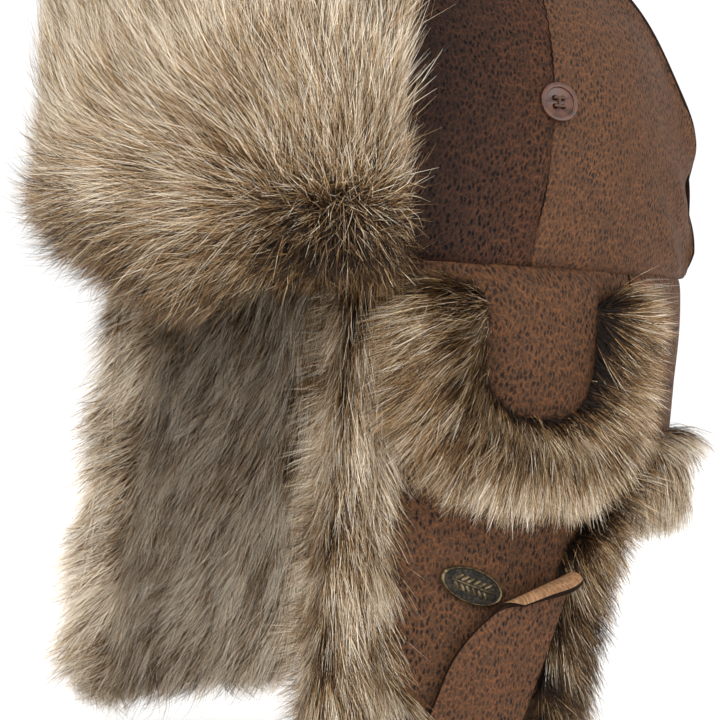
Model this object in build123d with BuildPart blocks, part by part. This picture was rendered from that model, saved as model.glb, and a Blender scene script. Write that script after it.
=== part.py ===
from build123d import *
import math
import os

# Trapper hat, all lengths in mm.
# +Z is up, the hat faces -Y and the wearer's left is +X.
# z = 0 is the lower edge of the crown, x = y = 0 is the middle of the head opening.

# Crown: an elliptical dome with an upright wall
CROWN_X = 94.0            # half width over the leather
CROWN_Y = 114.0           # half length over the leather
CROWN_TOP = 140.0
WALL = 18.0               # height of the upright wall
LEATHER = 2.0             # one layer of leather
LINING = 7.0              # quilted lining
BAND = 2.0                # sweatband thickness
BAND_HEIGHT = 30.0
GUSSET_HALF = 50.0        # half width of the centre band over the head
SEAM_FOOT = -18.0         # y of the side seam at the lower edge
SEAM_LEAN = 10.0          # backward lean of the side seam, degrees
WELT_PROUD = 5.0          # raw seam edge standing out of the crown
WELT_THICK = 2.4
PANEL_GAP = 0.2           # between neighbouring panels

# Button on each side seam
BUTTON_Z = 62.0
BUTTON_R = 7.5
BUTTON_THICK = 2.6
BUTTON_RIM = 1.0
BUTTON_HOLE_R = 0.9
BUTTON_HOLE_PITCH = 3.2
THREAD_R = 0.45

# Visor, turned up in front of the crown
VISOR_OFFSET = 6.5        # from the crown's leather to the visor's leather
VISOR_HALF = 80.0         # half width of the leather
VISOR_HEIGHT = 116.0
VISOR_FUR = 31.0          # depth of the fur
VISOR_FUR_ANGLE = 53.0    # the fur reaches this far round to each side
VISOR_FUR_TOP = 132.0
VISOR_FUR_LOW = -12.0
VISOR_SIDE_LOW = 2.0      # lower edge of the fur above the ear flaps
VISOR_ROUND = 22.0        # radius of the fur's outer rims

# Ear flaps
FLAP_TOP = -1.5
FLAP_LOW = -178.0
FLAP_FUR_LOW = -192.0
FLAP_FUR = 13.0           # depth of the fur lining
FLAP_ROLL = 6.0           # fur rolled out past the leather's face
SPLIT_Y = 36.0            # between the ear flap and the neck flap
SPLIT_GAP = 1.0

# Vent flap over each ear
VENT_GAP = 0.5
VENT_PILE = 6.5           # fur behind the vent's leather
VENT_TRIM = 12.0          # the fur round it stands this far off the ear flap
VENT_LOW = -62.0
VENT_FUR_LOW = -84.0

# Neck flap
NECK_LOW = -66.0
NECK_FUR_LOW = -98.0

# Chin tab, folded up against each ear flap
TAB_LOW = -172.0
TAB_TOP = -114.0
TAB_FLARE = 8.0           # its upper end stands off the flap by this much
TAB_LEATHER = 1.6
TAB_BACKING = 1.2

# Badge on the left ear flap
BADGE_Y = -33.0
BADGE_Z = -118.0
BADGE_HALF_LONG = 13.5
BADGE_HALF_HIGH = 6.5
BADGE_THICK = 2.0
BADGE_TILT = -18.0
POST_R = 0.8
POST_PITCH = 14.0
POST_REACH = 0.12         # the posts stop at the leather's face

FAR = 260.0               # longer than any part of the hat

os.makedirs("parts", exist_ok=True)


def drum(grow, low, high):
    """Upright elliptical column, the crown's outline grown by a distance."""
    with BuildPart() as body:
        with BuildSketch(Plane.XY.offset(low)):
            Ellipse(CROWN_X + grow, CROWN_Y + grow)
        extrude(amount=high - low)
    return body.part


def dome(grow):
    """The crown's outer form grown by a distance, solid down to z = 0."""
    half_x = CROWN_X + grow
    rise = CROWN_TOP + grow - WALL
    with BuildPart() as body:
        with BuildSketch(Plane.XZ):
            with BuildLine():
                Polyline((0, WALL + rise), (0, 0), (half_x, 0), (half_x, WALL))
                EllipticalCenterArc((0, WALL), half_x, rise, start_angle=0, arc_size=90)
            make_face()
        revolve(axis=Axis.Z)
        scale(by=(1, (CROWN_Y + grow) / half_x, 1))
    return body.part


def sector(first, last, low, high):
    """Wedge about the Z axis between two angles from the front, positive to the wearer's left."""
    steps = 12
    rim = []
    for step in range(steps + 1):
        angle = math.radians(first + (last - first) * step / steps)
        rim.append((FAR * math.sin(angle), -FAR * math.cos(angle)))
    with BuildPart() as body:
        with BuildSketch(Plane.XY.offset(low)):
            Polygon((0, 0), *rim, align=None)
        extrude(amount=high - low)
    return body.part


def side_outline(points, round_from, radius):
    """Left-hand prism along X from a (y, z) outline, rounded where z is below round_from."""
    with BuildPart() as body:
        with BuildSketch(Plane.YZ):
            Polygon(*points, align=None)
            corners = vertices().filter_by(lambda corner: corner.Y < round_from)
            fillet(corners, radius)
        extrude(amount=FAR)
    return body.part


# ---------------------------------------------------------------- crown

skin_outer = dome(0)
skin_inner = dome(-LEATHER)
lining_inner = dome(-LEATHER - LINING)
seam_plane = Plane(
    origin=(0, SEAM_FOOT, 0),
    z_dir=(0, math.cos(math.radians(SEAM_LEAN)), -math.sin(math.radians(SEAM_LEAN))),
)

with BuildPart() as crown_gusset:
    add(skin_outer)
    add(skin_inner, mode=Mode.SUBTRACT)
    with Locations((0, 0, CROWN_TOP / 2)):
        Box(2 * GUSSET_HALF, 2 * FAR, 2 * CROWN_TOP, mode=Mode.INTERSECT)

with BuildPart() as side_panel:
    add(skin_outer)
    add(skin_inner, mode=Mode.SUBTRACT)
    with Locations((GUSSET_HALF + PANEL_GAP + FAR / 2, 0, CROWN_TOP / 2)):
        Box(FAR, 2 * FAR, 2 * CROWN_TOP, mode=Mode.INTERSECT)

with BuildPart() as crown_side_front_left:
    add(side_panel.part)
    split(bisect_by=seam_plane.offset(-PANEL_GAP / 2), keep=Keep.BOTTOM)

with BuildPart() as crown_side_rear_left:
    add(side_panel.part)
    split(bisect_by=seam_plane.offset(PANEL_GAP / 2), keep=Keep.TOP)

with BuildPart() as seam_welt_left:
    add(dome(WELT_PROUD))
    add(skin_outer, mode=Mode.SUBTRACT)
    with Locations((GUSSET_HALF, 0, CROWN_TOP / 2)):
        Box(WELT_THICK, 2 * FAR, 2 * CROWN_TOP, mode=Mode.INTERSECT)

with BuildPart() as crown_lining:
    add(skin_inner)
    add(lining_inner, mode=Mode.SUBTRACT)

with BuildPart() as sweatband:
    add(drum(-LEATHER - LINING, 0, BAND_HEIGHT))
    add(drum(-LEATHER - LINING - BAND, -1, BAND_HEIGHT + 1), mode=Mode.SUBTRACT)
    add(lining_inner, mode=Mode.INTERSECT)

# The button lies flat on the crown where the side seam passes its height.
button_y = SEAM_FOOT + BUTTON_Z * math.tan(math.radians(SEAM_LEAN))
rise_share = (BUTTON_Z - WALL) / (CROWN_TOP - WALL)
button_x = CROWN_X * math.sqrt(1 - rise_share ** 2 - (button_y / CROWN_Y) ** 2)
button_out = (
    button_x / CROWN_X ** 2,
    button_y / CROWN_Y ** 2,
    (BUTTON_Z - WALL) / (CROWN_TOP - WALL) ** 2,
)
button_plane = Plane(origin=(button_x, button_y, BUTTON_Z), x_dir=(0, 1, 0), z_dir=button_out)
hole_spots = GridLocations(BUTTON_HOLE_PITCH, BUTTON_HOLE_PITCH, 2, 2)

with BuildPart() as button_left:
    with BuildSketch(button_plane.offset(0.6)):
        Circle(BUTTON_R)
    extrude(amount=BUTTON_THICK)
    with BuildSketch(button_plane.offset(0.6 + BUTTON_THICK - BUTTON_RIM)):
        Circle(BUTTON_R - 1.8)
    extrude(amount=BUTTON_RIM, mode=Mode.SUBTRACT)
    with BuildSketch(button_plane.offset(0.6)):
        with hole_spots:
            Circle(BUTTON_HOLE_R)
    extrude(amount=BUTTON_THICK, mode=Mode.SUBTRACT)

with BuildPart() as button_thread_left:
    with BuildSketch(button_plane.offset(0.2)):
        with hole_spots:
            Circle(THREAD_R)
    extrude(amount=0.4 + BUTTON_THICK - BUTTON_RIM + 2 * THREAD_R)
    with BuildSketch(button_plane.offset(0.6 + BUTTON_THICK - BUTTON_RIM + 0.05)):
        with GridLocations(0, BUTTON_HOLE_PITCH, 1, 2):
            Rectangle(BUTTON_HOLE_PITCH + 2 * THREAD_R, 2 * THREAD_R)
        Rectangle(2 * THREAD_R, BUTTON_HOLE_PITCH + 2 * THREAD_R)
    extrude(amount=2 * THREAD_R)

# ---------------------------------------------------------------- visor

VISOR_BACK = VISOR_OFFSET
VISOR_FACE = VISOR_OFFSET + LEATHER


def front_outline(points, radius):
    """Prism towards the front from an upright (x, z) outline with two rounded top corners."""
    with BuildPart() as body:
        with BuildSketch(Plane.XZ):
            Polygon(*points, align=None)
            fillet(vertices().group_by(Axis.Y)[-1], radius)
        extrude(amount=FAR)
    return body.part


def pillow(grow, low, high, radius):
    """Like drum, with both outer rims rounded over."""
    half_x = CROWN_X + grow
    with BuildPart() as body:
        with BuildSketch(Plane.XZ):
            with Locations((half_x / 2, (low + high) / 2)):
                Rectangle(half_x, high - low)
            fillet(vertices().group_by(Axis.X)[-1], radius)
        revolve(axis=Axis.Z)
        scale(by=(1, (CROWN_Y + grow) / half_x, 1))
    return body.part


visor_edge = front_outline(
    [
        (-VISOR_HALF, FLAP_TOP),
        (VISOR_HALF, FLAP_TOP),
        (VISOR_HALF, VISOR_HEIGHT),
        (-VISOR_HALF, VISOR_HEIGHT),
    ],
    42,
)
# The fur's lower edge rises over the ear flaps at both sides.
visor_fur_edge = front_outline(
    [
        (-112, VISOR_SIDE_LOW),
        (-58, VISOR_SIDE_LOW),
        (-38, VISOR_FUR_LOW),
        (38, VISOR_FUR_LOW),
        (58, VISOR_SIDE_LOW),
        (112, VISOR_SIDE_LOW),
        (112, VISOR_FUR_TOP),
        (-112, VISOR_FUR_TOP),
    ],
    60,
)


with BuildPart() as visor_leather:
    add(drum(VISOR_FACE, FLAP_TOP, VISOR_HEIGHT))
    add(drum(VISOR_BACK, FLAP_TOP, VISOR_HEIGHT), mode=Mode.SUBTRACT)
    add(visor_edge, mode=Mode.INTERSECT)

with BuildPart() as visor_fur:
    add(pillow(VISOR_FACE + VISOR_FUR, VISOR_FUR_LOW, VISOR_FUR_TOP, VISOR_ROUND))
    add(drum(VISOR_FACE, VISOR_FUR_LOW, VISOR_FUR_TOP), mode=Mode.SUBTRACT)
    add(sector(-VISOR_FUR_ANGLE, VISOR_FUR_ANGLE, VISOR_FUR_LOW, VISOR_FUR_TOP), mode=Mode.INTERSECT)
    add(visor_fur_edge, mode=Mode.INTERSECT)

# ---------------------------------------------------------------- ear flaps

leather_edge = side_outline(
    [
        (-68, FLAP_TOP),
        (-69, -100),
        (-62, FLAP_LOW),
        (2, FLAP_LOW),
        (8, -112),
        (SPLIT_Y, -72),
        (SPLIT_Y, FLAP_TOP),
    ],
    -150,
    24,
)
fur_edge = side_outline(
    [
        (-100, FLAP_TOP),
        (-100, -100),
        (-84, FLAP_FUR_LOW),
        (20, FLAP_FUR_LOW),
        (27, -124),
        (SPLIT_Y, -104),
        (SPLIT_Y, FLAP_TOP),
    ],
    -150,
    32,
)

# Everything inside the leather's edge and outside its inner face belongs to the leather.
with BuildPart() as leather_zone:
    add(drum(FLAP_ROLL + 1, FLAP_LOW, FLAP_TOP))
    add(drum(-LEATHER, FLAP_LOW, FLAP_TOP), mode=Mode.SUBTRACT)
    add(leather_edge, mode=Mode.INTERSECT)

badge_x = CROWN_X * math.sqrt(1 - (BADGE_Y / CROWN_Y) ** 2)
badge_out = (badge_x / CROWN_X ** 2, BADGE_Y / CROWN_Y ** 2, 0)
badge_length = math.hypot(badge_out[0], badge_out[1])
badge_tilt = math.radians(BADGE_TILT)
badge_along = (
    -badge_out[1] / badge_length * math.cos(badge_tilt),
    badge_out[0] / badge_length * math.cos(badge_tilt),
    math.sin(badge_tilt),
)
badge_plane = Plane(origin=(badge_x, BADGE_Y, BADGE_Z), x_dir=badge_along, z_dir=badge_out)

# The leather curves away behind the flat badge, and two short posts reach it.
with BuildPart() as badge:
    with BuildSketch(badge_plane.offset(-POST_REACH)):
        with GridLocations(POST_PITCH, 0, 2, 1):
            Circle(POST_R)
    extrude(amount=POST_REACH + 0.1)
    with BuildSketch(badge_plane.offset(0.1)):
        Ellipse(BADGE_HALF_LONG, BADGE_HALF_HIGH)
    extrude(amount=BADGE_THICK)
    with BuildSketch(badge_plane.offset(0.1 + BADGE_THICK - 0.7)):
        Ellipse(BADGE_HALF_LONG - 1.6, BADGE_HALF_HIGH - 1.6)
    extrude(amount=0.7, mode=Mode.SUBTRACT)

with BuildPart() as ear_flap_leather_left:
    add(drum(0, FLAP_LOW, FLAP_TOP))
    add(drum(-LEATHER, FLAP_LOW, FLAP_TOP), mode=Mode.SUBTRACT)
    add(leather_edge, mode=Mode.INTERSECT)

with BuildPart() as ear_flap_fur_left:
    add(drum(FLAP_ROLL, FLAP_FUR_LOW, FLAP_TOP))
    add(drum(-LEATHER - FLAP_FUR, FLAP_FUR_LOW, FLAP_TOP), mode=Mode.SUBTRACT)
    add(fur_edge, mode=Mode.INTERSECT)
    add(sector(39, 130, FLAP_FUR_LOW, FLAP_TOP), mode=Mode.INTERSECT)
    add(leather_zone.part, mode=Mode.SUBTRACT)

# ---------------------------------------------------------------- vent flaps

vent_leather_edge = side_outline(
    [(-43, VENT_LOW), (15, VENT_LOW), (15, -5), (-43, -5)],
    -50,
    25,
)
vent_fur_edge = side_outline(
    [(-67, VENT_FUR_LOW), (34, VENT_FUR_LOW), (34, -10), (-67, -10)],
    -50,
    38,
)
vent_leather_back = VENT_GAP + VENT_PILE

with BuildPart() as vent_zone:
    add(drum(VENT_TRIM + 1, VENT_LOW, -5))
    add(drum(vent_leather_back, VENT_LOW, -5), mode=Mode.SUBTRACT)
    add(vent_leather_edge, mode=Mode.INTERSECT)

with BuildPart() as vent_leather_left:
    add(drum(vent_leather_back + LEATHER, VENT_LOW, -5))
    add(vent_zone.part, mode=Mode.INTERSECT)

with BuildPart() as vent_fur_left:
    add(drum(VENT_TRIM, VENT_FUR_LOW, -10))
    add(drum(VENT_GAP, VENT_FUR_LOW, -10), mode=Mode.SUBTRACT)
    add(vent_fur_edge, mode=Mode.INTERSECT)
    add(vent_zone.part, mode=Mode.SUBTRACT)

# ---------------------------------------------------------------- chin tabs


def flared_drum(grow):
    """Elliptical column that widens by TAB_FLARE from the tab's foot to its upper end."""
    with BuildPart() as body:
        with BuildSketch(Plane.XY.offset(TAB_LOW)):
            Ellipse(CROWN_X + grow, CROWN_Y + grow)
        with BuildSketch(Plane.XY.offset(TAB_TOP)):
            Ellipse(CROWN_X + grow + TAB_FLARE, CROWN_Y + grow + TAB_FLARE)
        loft(ruled=True)
    return body.part


with BuildPart() as tab_edge:
    with BuildSketch(Plane.YZ):
        Polygon((-49, TAB_LOW), (-11, TAB_LOW), (8, TAB_TOP), (-34, TAB_TOP), align=None)
        fillet(vertices().group_by(Axis.Y)[-1], 15)
    extrude(amount=FAR)

TAB_INNER = 1.5

with BuildPart() as chin_tab_backing_left:
    add(flared_drum(TAB_INNER + TAB_BACKING))
    add(flared_drum(TAB_INNER), mode=Mode.SUBTRACT)
    add(tab_edge.part, mode=Mode.INTERSECT)

with BuildPart() as chin_tab_leather_left:
    add(flared_drum(TAB_INNER + TAB_BACKING + TAB_LEATHER))
    add(flared_drum(TAB_INNER + TAB_BACKING), mode=Mode.SUBTRACT)
    add(tab_edge.part, mode=Mode.INTERSECT)

# ---------------------------------------------------------------- neck flap

with BuildPart() as neck_zone:
    add(drum(FLAP_ROLL + 1, NECK_LOW, FLAP_TOP))
    add(drum(-LEATHER, NECK_LOW, FLAP_TOP), mode=Mode.SUBTRACT)
    with Locations((0, SPLIT_Y + SPLIT_GAP + FAR / 2, NECK_LOW / 2)):
        Box(2 * FAR, FAR, 2 * abs(NECK_LOW), mode=Mode.INTERSECT)

with BuildPart() as neck_flap_leather:
    add(drum(0, NECK_LOW, FLAP_TOP))
    add(neck_zone.part, mode=Mode.INTERSECT)

with BuildPart() as neck_flap_fur:
    add(drum(FLAP_ROLL, NECK_FUR_LOW, FLAP_TOP))
    add(drum(-LEATHER - FLAP_FUR, NECK_FUR_LOW, FLAP_TOP), mode=Mode.SUBTRACT)
    with Locations((0, SPLIT_Y + SPLIT_GAP + FAR / 2, NECK_LOW / 2)):
        Box(2 * FAR, FAR, 4 * abs(NECK_LOW), mode=Mode.INTERSECT)
    add(neck_zone.part, mode=Mode.SUBTRACT)

# ---------------------------------------------------------------- right-hand copies

with BuildPart() as crown_side_front_right:
    mirror(crown_side_front_left.part, about=Plane.YZ)

with BuildPart() as crown_side_rear_right:
    mirror(crown_side_rear_left.part, about=Plane.YZ)

with BuildPart() as seam_welt_right:
    mirror(seam_welt_left.part, about=Plane.YZ)

with BuildPart() as button_right:
    mirror(button_left.part, about=Plane.YZ)

with BuildPart() as button_thread_right:
    mirror(button_thread_left.part, about=Plane.YZ)

with BuildPart() as ear_flap_leather_right:
    mirror(ear_flap_leather_left.part, about=Plane.YZ)

with BuildPart() as ear_flap_fur_right:
    mirror(ear_flap_fur_left.part, about=Plane.YZ)

with BuildPart() as vent_leather_right:
    mirror(vent_leather_left.part, about=Plane.YZ)

with BuildPart() as vent_fur_right:
    mirror(vent_fur_left.part, about=Plane.YZ)

with BuildPart() as chin_tab_backing_right:
    mirror(chin_tab_backing_left.part, about=Plane.YZ)

with BuildPart() as chin_tab_leather_right:
    mirror(chin_tab_leather_left.part, about=Plane.YZ)

# ---------------------------------------------------------------- export

crown_gusset.part.label = "crown_gusset"
export_step(crown_gusset.part, "parts/crown_gusset.step")
crown_side_front_left.part.label = "crown_side_front_left"
export_step(crown_side_front_left.part, "parts/crown_side_front_left.step")
crown_side_front_right.part.label = "crown_side_front_right"
export_step(crown_side_front_right.part, "parts/crown_side_front_right.step")
crown_side_rear_left.part.label = "crown_side_rear_left"
export_step(crown_side_rear_left.part, "parts/crown_side_rear_left.step")
crown_side_rear_right.part.label = "crown_side_rear_right"
export_step(crown_side_rear_right.part, "parts/crown_side_rear_right.step")
seam_welt_left.part.label = "seam_welt_left"
export_step(seam_welt_left.part, "parts/seam_welt_left.step")
seam_welt_right.part.label = "seam_welt_right"
export_step(seam_welt_right.part, "parts/seam_welt_right.step")
crown_lining.part.label = "crown_lining"
export_step(crown_lining.part, "parts/crown_lining.step")
sweatband.part.label = "sweatband"
export_step(sweatband.part, "parts/sweatband.step")
button_left.part.label = "button_left"
export_step(button_left.part, "parts/button_left.step")
button_right.part.label = "button_right"
export_step(button_right.part, "parts/button_right.step")
button_thread_left.part.label = "button_thread_left"
export_step(button_thread_left.part, "parts/button_thread_left.step")
button_thread_right.part.label = "button_thread_right"
export_step(button_thread_right.part, "parts/button_thread_right.step")
visor_leather.part.label = "visor_leather"
export_step(visor_leather.part, "parts/visor_leather.step")
visor_fur.part.label = "visor_fur"
export_step(visor_fur.part, "parts/visor_fur.step")
ear_flap_leather_left.part.label = "ear_flap_leather_left"
export_step(ear_flap_leather_left.part, "parts/ear_flap_leather_left.step")
ear_flap_leather_right.part.label = "ear_flap_leather_right"
export_step(ear_flap_leather_right.part, "parts/ear_flap_leather_right.step")
ear_flap_fur_left.part.label = "ear_flap_fur_left"
export_step(ear_flap_fur_left.part, "parts/ear_flap_fur_left.step")
ear_flap_fur_right.part.label = "ear_flap_fur_right"
export_step(ear_flap_fur_right.part, "parts/ear_flap_fur_right.step")
badge.part.label = "badge"
export_step(badge.part, "parts/badge.step")
vent_leather_left.part.label = "vent_leather_left"
export_step(vent_leather_left.part, "parts/vent_leather_left.step")
vent_leather_right.part.label = "vent_leather_right"
export_step(vent_leather_right.part, "parts/vent_leather_right.step")
vent_fur_left.part.label = "vent_fur_left"
export_step(vent_fur_left.part, "parts/vent_fur_left.step")
vent_fur_right.part.label = "vent_fur_right"
export_step(vent_fur_right.part, "parts/vent_fur_right.step")
chin_tab_leather_left.part.label = "chin_tab_leather_left"
export_step(chin_tab_leather_left.part, "parts/chin_tab_leather_left.step")
chin_tab_leather_right.part.label = "chin_tab_leather_right"
export_step(chin_tab_leather_right.part, "parts/chin_tab_leather_right.step")
chin_tab_backing_left.part.label = "chin_tab_backing_left"
export_step(chin_tab_backing_left.part, "parts/chin_tab_backing_left.step")
chin_tab_backing_right.part.label = "chin_tab_backing_right"
export_step(chin_tab_backing_right.part, "parts/chin_tab_backing_right.step")
neck_flap_leather.part.label = "neck_flap_leather"
export_step(neck_flap_leather.part, "parts/neck_flap_leather.step")
neck_flap_fur.part.label = "neck_flap_fur"
export_step(neck_flap_fur.part, "parts/neck_flap_fur.step")
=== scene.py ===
import math
import bpy
import numpy as np
from mathutils import Matrix, Vector
from mathutils.kdtree import KDTree


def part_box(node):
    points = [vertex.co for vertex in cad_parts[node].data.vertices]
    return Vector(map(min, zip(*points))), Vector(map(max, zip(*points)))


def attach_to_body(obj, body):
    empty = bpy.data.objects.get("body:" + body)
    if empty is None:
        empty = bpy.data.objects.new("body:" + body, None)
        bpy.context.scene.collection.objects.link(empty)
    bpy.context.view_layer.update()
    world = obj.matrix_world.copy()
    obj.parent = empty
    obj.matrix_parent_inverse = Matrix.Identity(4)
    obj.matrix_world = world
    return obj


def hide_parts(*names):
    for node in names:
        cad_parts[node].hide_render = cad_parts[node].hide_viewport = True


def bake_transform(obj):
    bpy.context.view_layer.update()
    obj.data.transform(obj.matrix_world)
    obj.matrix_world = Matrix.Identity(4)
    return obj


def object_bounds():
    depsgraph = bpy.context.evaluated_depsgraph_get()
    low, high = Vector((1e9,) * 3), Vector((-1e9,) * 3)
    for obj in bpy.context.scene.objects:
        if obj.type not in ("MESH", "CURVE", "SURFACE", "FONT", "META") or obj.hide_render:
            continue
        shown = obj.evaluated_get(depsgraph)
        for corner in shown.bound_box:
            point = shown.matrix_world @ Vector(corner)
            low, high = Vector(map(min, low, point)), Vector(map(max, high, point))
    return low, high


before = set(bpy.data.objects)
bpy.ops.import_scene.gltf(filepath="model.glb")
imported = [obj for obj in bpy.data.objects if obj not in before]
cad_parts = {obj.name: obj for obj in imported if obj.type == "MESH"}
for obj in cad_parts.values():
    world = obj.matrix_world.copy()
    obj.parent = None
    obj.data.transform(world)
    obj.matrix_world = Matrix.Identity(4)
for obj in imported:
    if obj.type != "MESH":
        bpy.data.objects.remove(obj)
cad_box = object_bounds()

MM = 0.001
SIDES = (("left", 1.0), ("right", -1.0))

# ------------------------------------------------------------------ sizes, in mm, from the frame


def box_mm(node):
    """The CAD node's corners in mm."""
    low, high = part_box(node)
    return np.array(low) / MM, np.array(high) / MM


AX = box_mm("crown_side_rear_left")[1][0]           # half width of the crown's leather
AY = box_mm("crown_gusset")[1][1]                   # half length
TOP = box_mm("crown_gusset")[1][2]
WALL = 18.0
GUSSET = box_mm("crown_gusset")[1][0]
SPLIT = box_mm("ear_flap_leather_left")[1][1]       # y where the ear flap ends
FLAP_LOW = box_mm("ear_flap_leather_left")[0][2]
VENT_LO, VENT_HI = box_mm("vent_leather_left")
VISOR_LO, VISOR_HI = box_mm("visor_leather")
VISOR_LEVEL = -VISOR_LO[1] - AY                     # the visor leather's face, out from the crown's
NECK_LOW = box_mm("neck_flap_leather")[0][2]
TAB_LOW = box_mm("chin_tab_leather_left")[0][2]
SEAM_FOOT, SEAM_LEAN = -18.0, math.tan(math.radians(10.0))


# ------------------------------------------------------------------ helpers

def unit(v):
    return v / np.maximum(np.linalg.norm(v, axis=-1, keepdims=True), 1e-9)


def wave(p, size, seed):
    """Smooth noise from -1 to 1 at points p, with features of about this size in mm."""
    r = np.random.default_rng(seed)
    total = np.zeros(p.shape[:-1])
    for _ in range(9):
        k = unit(r.normal(size=3)) * (2 * math.pi / size) * r.uniform(0.6, 1.5)
        total += np.sin(p @ k + r.uniform(0, 6.28))
    return total / 4.2


def rise(z):
    """Height above the upright wall as a share of the dome's."""
    return np.clip((z - WALL) / (TOP - WALL), 0, None)


def side_x(y, z, level=0.0):
    """x of the crown's side at y, z, grown outward by level."""
    s = np.clip((z - WALL) / (TOP + level - WALL), 0, None)
    return (AX + level) * np.sqrt(np.clip(1 - (y / (AY + level)) ** 2 - s ** 2, 0, None))


def outward(p):
    """Level unit vector out of the crown's oval."""
    return unit(np.stack([p[..., 0] / AX ** 2, p[..., 1] / AY ** 2, 0 * p[..., 0]], -1))


def grid_normals(P):
    du = np.gradient(P, axis=1)
    dv = np.gradient(P, axis=0)
    return unit(np.cross(du, dv))


def fast_mesh(name, verts, quads, indices, materials, fabric=None, normals=None):
    """An object from arrays: verts in mm, quads as rows of four, one material index a quad."""
    me = bpy.data.meshes.new(name)
    me.vertices.add(len(verts))
    me.vertices.foreach_set("co", (np.asarray(verts) * MM).astype(np.float32).ravel())
    me.loops.add(4 * len(quads))
    me.loops.foreach_set("vertex_index", np.asarray(quads, np.int32).ravel())
    me.polygons.add(len(quads))
    me.polygons.foreach_set("loop_start", np.arange(0, 4 * len(quads), 4, dtype=np.int32))
    me.polygons.foreach_set("material_index", np.asarray(indices, np.int32))
    me.polygons.foreach_set("use_smooth", np.ones(len(quads), bool))
    for m in materials:
        me.materials.append(m)
    if fabric is not None:
        a = me.attributes.new("fabric", "FLOAT_VECTOR", "POINT")
        a.data.foreach_set("vector", np.asarray(fabric, np.float32).ravel())
    me.update(calc_edges=True)
    if normals is not None:
        me.normals_split_custom_set_from_vertices(np.asarray(normals, np.float32))
    ob = bpy.data.objects.new(name, me)
    bpy.context.scene.collection.objects.link(ob)
    return ob


def slab_arrays(P, thick, fabric, N=None):
    """Closed sheet from a grid of outer points: 0 outer, 1 inner, 2 rim faces."""
    nv, nu = P.shape[:2]
    N = grid_normals(P) if N is None else N
    outer, inner = P.reshape(-1, 3), (P - N * thick).reshape(-1, 3)
    ids = np.arange(nv * nu).reshape(nv, nu)
    a, b, c, d = ids[:-1, :-1], ids[:-1, 1:], ids[1:, 1:], ids[1:, :-1]
    front = np.stack([a, b, c, d], -1).reshape(-1, 4)
    back = front[:, ::-1] + nv * nu
    ring = np.concatenate([ids[0, :-1], ids[:-1, -1], ids[-1, :0:-1], ids[:0:-1, 0]])
    nxt = np.roll(ring, -1)
    # the rim bulges a little, so an edge reads as a folded or cut thickness
    centre = P.reshape(-1, 3).mean(0)
    mid = (outer[ring] + inner[ring]) / 2
    along = unit(outer[nxt] - outer[np.roll(ring, 1)])
    push = unit(np.cross(along, N.reshape(-1, 3)[ring]))
    mid = mid + push * thick * 0.3 * np.sign(((mid - centre) * push).sum(-1, keepdims=True))
    base = 2 * nv * nu
    k = np.arange(len(ring))
    k2 = np.roll(k, -1)
    rim1 = np.stack([nxt, ring, base + k, base + k2], -1)
    rim2 = np.stack([base + k2, base + k, ring + nv * nu, nxt + nv * nu], -1)
    verts = np.concatenate([outer, inner, mid])
    quads = np.concatenate([front, back, rim1, rim2])
    kinds = np.concatenate([np.zeros(len(front)), np.ones(len(back)), np.full(2 * len(ring), 2)]).astype(int)
    f = fabric.reshape(-1, 3)
    fab = np.concatenate([f, f + (0, 0, 40.0), f[ring]])
    return verts, quads, kinds, fab


def sheet_object(name, P, thick, fabric, materials, mirror=1.0, N=None):
    """materials is outer, inner, rim. mirror -1 makes the right-hand copy."""
    verts, quads, kinds, fab = slab_arrays(P, thick, fabric, N)
    if mirror < 0:
        verts = verts * (-1, 1, 1)
        quads = quads[:, ::-1]
        fab = fab + (313.0, 171.0, 0)
    return fast_mesh(name, verts, quads, kinds, materials, fab)


# ------------------------------------------------------------------ materials

def colour(code):
    """Linear colour from a six-digit code."""
    c = [int(code[i:i + 2], 16) / 255 for i in (0, 2, 4)]
    return tuple(x / 12.92 if x <= 0.04045 else ((x + 0.055) / 1.055) ** 2.4 for x in c) + (1.0,)


class Nodes:
    """Short hand for building one material's node tree."""

    def __init__(self, name):
        self.mat = bpy.data.materials.new(name)
        self.mat.use_nodes = True
        self.tree = self.mat.node_tree
        self.out = self.tree.nodes["Principled BSDF"]

    def add(self, kind, inputs=None, **props):
        n = self.tree.nodes.new("ShaderNode" + kind)
        for k, v in props.items():
            setattr(n, k, v)
        for k, v in (inputs or {}).items():
            self.put(n.inputs[k], v)
        return n

    def put(self, socket, v):
        if isinstance(v, bpy.types.NodeSocket):
            self.tree.links.new(v, socket)
        else:
            socket.default_value = v

    def math(self, op, a, b=0.0, clamp=False):
        n = self.add("Math", {0: a, 1: b}, operation=op, use_clamp=clamp)
        return n.outputs[0]

    def ramp(self, x, a, b, lo=0.0, hi=1.0):
        n = self.add("MapRange", {"Value": x, "From Min": a, "From Max": b, "To Min": lo, "To Max": hi},
                     interpolation_type="SMOOTHSTEP")
        return n.outputs["Result"]

    def mix(self, f, a, b, blend="MIX"):
        n = self.add("Mix", data_type="RGBA", blend_type=blend)
        self.put(n.inputs[0], f)
        self.put(n.inputs[6], a)
        self.put(n.inputs[7], b)
        return n.outputs[2]

    def fabric(self, scale):
        a = self.add("Attribute", attribute_name="fabric")
        m = self.add("Mapping", {"Vector": a.outputs["Vector"], "Scale": scale})
        return m.outputs[0]

    def noise(self, vec, scale, detail=3.0, rough=0.5):
        n = self.add("TexNoise", {"Vector": vec, "Scale": scale, "Detail": detail, "Roughness": rough})
        return n.outputs["Fac"]

    def bump(self, height, strength, distance):
        n = self.add("Bump", {"Height": height, "Strength": strength, "Distance": distance})
        self.put(self.out.inputs["Normal"], n.outputs[0])


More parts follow.
